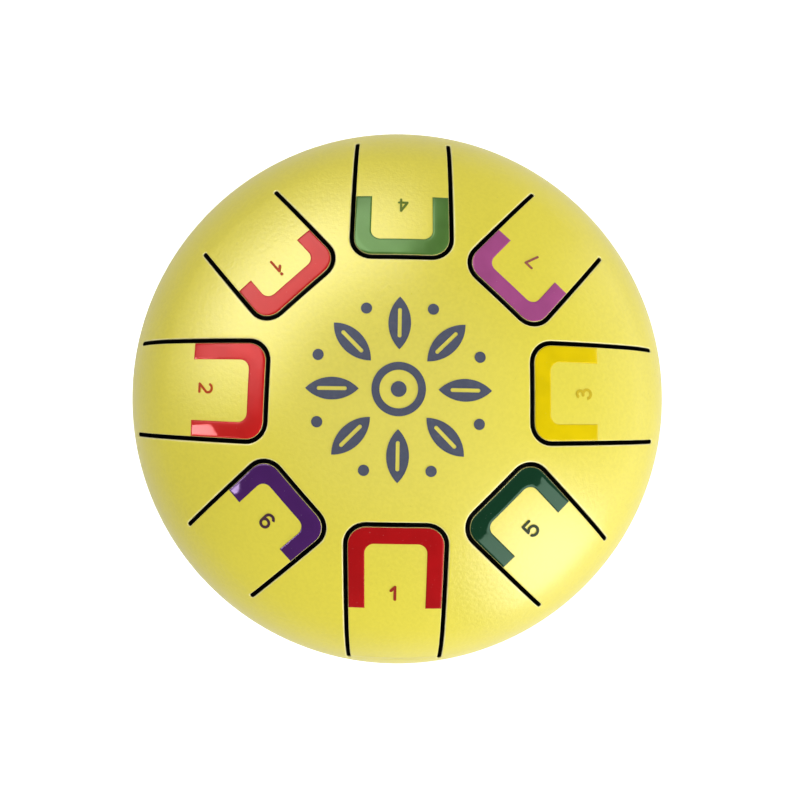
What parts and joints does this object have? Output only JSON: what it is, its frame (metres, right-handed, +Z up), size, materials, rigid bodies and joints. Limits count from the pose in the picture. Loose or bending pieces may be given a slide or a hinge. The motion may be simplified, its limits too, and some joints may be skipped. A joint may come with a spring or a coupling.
{
  "type": "steel tongue drum",
  "caption": "Small round steel tongue drum: two domed shells welded at the seam, sprung tongues cut in the top, colour marks, sound port and rubber feet.",
  "frame": {"origin": "on the surface the drum stands on, under the middle of the drum", "axes": "+Z up through the crown of the upper shell; -Y towards the lowest note's tongue, +X towards the tongue of note 3"},
  "size_m": [0.1526, 0.1526, 0.0893],
  "materials": {
    "yellow_paint": "satin",
    "slate_print": "matte",
    "black_rubber": "matte",
    "vinyl_low_1": "gloss",
    "vinyl_2": "gloss",
    "vinyl_3": "gloss",
    "vinyl_4": "gloss",
    "vinyl_5": "gloss",
    "vinyl_6": "gloss",
    "vinyl_7": "gloss",
    "vinyl_high_1": "gloss"
  },
  "bodies": {
    "shell": {"top_shell": "yellow_paint", "bottom_shell": "yellow_paint", "weld_bead": "yellow_paint", "centre_rosette": "slate_print", "front_foot": "black_rubber", "right_foot": "black_rubber", "left_foot": "black_rubber"},
    "tongue_low_1": {"tongue_low_1": "yellow_paint", "mark_low_1": "vinyl_low_1", "numeral_low_1": "vinyl_low_1"},
    "tongue_2": {"tongue_2": "yellow_paint", "mark_2": "vinyl_2", "numeral_2": "vinyl_2"},
    "tongue_3": {"tongue_3": "yellow_paint", "mark_3": "vinyl_3", "numeral_3": "vinyl_3"},
    "tongue_4": {"tongue_4": "yellow_paint", "mark_4": "vinyl_4", "numeral_4": "vinyl_4"},
    "tongue_5": {"tongue_5": "yellow_paint", "mark_5": "vinyl_5", "numeral_5": "vinyl_5"},
    "tongue_6": {"tongue_6": "yellow_paint", "mark_6": "vinyl_6", "numeral_6": "vinyl_6"},
    "tongue_7": {"tongue_7": "yellow_paint", "mark_7": "vinyl_7", "numeral_7": "vinyl_7"},
    "tongue_high_1": {"tongue_high_1": "yellow_paint", "mark_high_1": "vinyl_high_1", "numeral_high_1": "vinyl_high_1"}
  },
  "joints": [
    {"name": "bend_low_1", "type": "hinge", "parent": "shell", "child": "tongue_low_1", "pos_m": [0, -0.06939, 0.06347], "axis": [1, 0, 0], "range_deg": [-0.5, 0.5], "stiffness_Nm_per_rad": 58.6},
    {"name": "bend_2", "type": "hinge", "parent": "shell", "child": "tongue_2", "pos_m": [-0.06763, 0.00006, 0.06585], "axis": [-0.0262, -0.9997, 0], "range_deg": [-0.5, 0.5], "stiffness_Nm_per_rad": 65.5},
    {"name": "bend_3", "type": "hinge", "parent": "shell", "child": "tongue_3", "pos_m": [0.06574, 0.00038, 0.06801], "axis": [-0.0157, 0.9999, 0], "range_deg": [-0.5, 0.5], "stiffness_Nm_per_rad": 65.8},
    {"name": "bend_4", "type": "hinge", "parent": "shell", "child": "tongue_4", "pos_m": [0.00016, 0.06551, 0.06824], "axis": [-1, 0, 0], "range_deg": [-0.5, 0.5], "stiffness_Nm_per_rad": 71.9},
    {"name": "bend_5", "type": "hinge", "parent": "shell", "child": "tongue_5", "pos_m": [0.04516, -0.04502, 0.06989], "axis": [0.6972, 0.7169, 0], "range_deg": [-0.5, 0.5], "stiffness_Nm_per_rad": 66.6},
    {"name": "bend_6", "type": "hinge", "parent": "shell", "child": "tongue_6", "pos_m": [-0.04395, -0.04286, 0.07176], "axis": [0.6665, -0.7455, 0], "range_deg": [-0.5, 0.5], "stiffness_Nm_per_rad": 63},
    {"name": "bend_7", "type": "hinge", "parent": "shell", "child": "tongue_7", "pos_m": [0.04222, 0.0431, 0.07249], "axis": [-0.7385, 0.6743, 0], "range_deg": [-0.5, 0.5], "stiffness_Nm_per_rad": 78.5},
    {"name": "bend_high_1", "type": "hinge", "parent": "shell", "child": "tongue_high_1", "pos_m": [-0.04066, 0.04208, 0.07361], "axis": [-0.7385, -0.6743, 0], "range_deg": [-0.5, 0.5], "stiffness_Nm_per_rad": 71.9}
  ]
}
